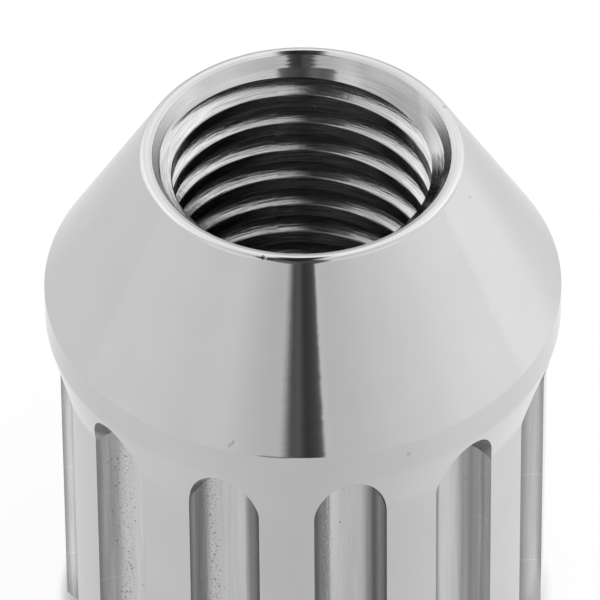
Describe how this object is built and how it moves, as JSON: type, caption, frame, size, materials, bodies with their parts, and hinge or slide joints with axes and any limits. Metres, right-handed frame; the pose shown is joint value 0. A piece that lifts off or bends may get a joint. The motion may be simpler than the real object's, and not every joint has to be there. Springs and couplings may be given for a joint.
{
  "type": "locking wheel nut",
  "caption": "Fluted locking wheel nut: a round bright steel body with a conical seat, a threaded bore and deep flutes round the outside for its key.",
  "frame": {"origin": "centre of the flat lower end, which the nut stands on", "axes": "+Z along the bore, from the lower end to the top of the conical seat; a flute is centred on -Y"},
  "size_m": [0.021, 0.021, 0.025],
  "materials": {
    "bright_steel": "bright turned and polished"
  },
  "bodies": {
    "root": {"wheel_nut": "bright_steel"}
  },
  "joints": []
}
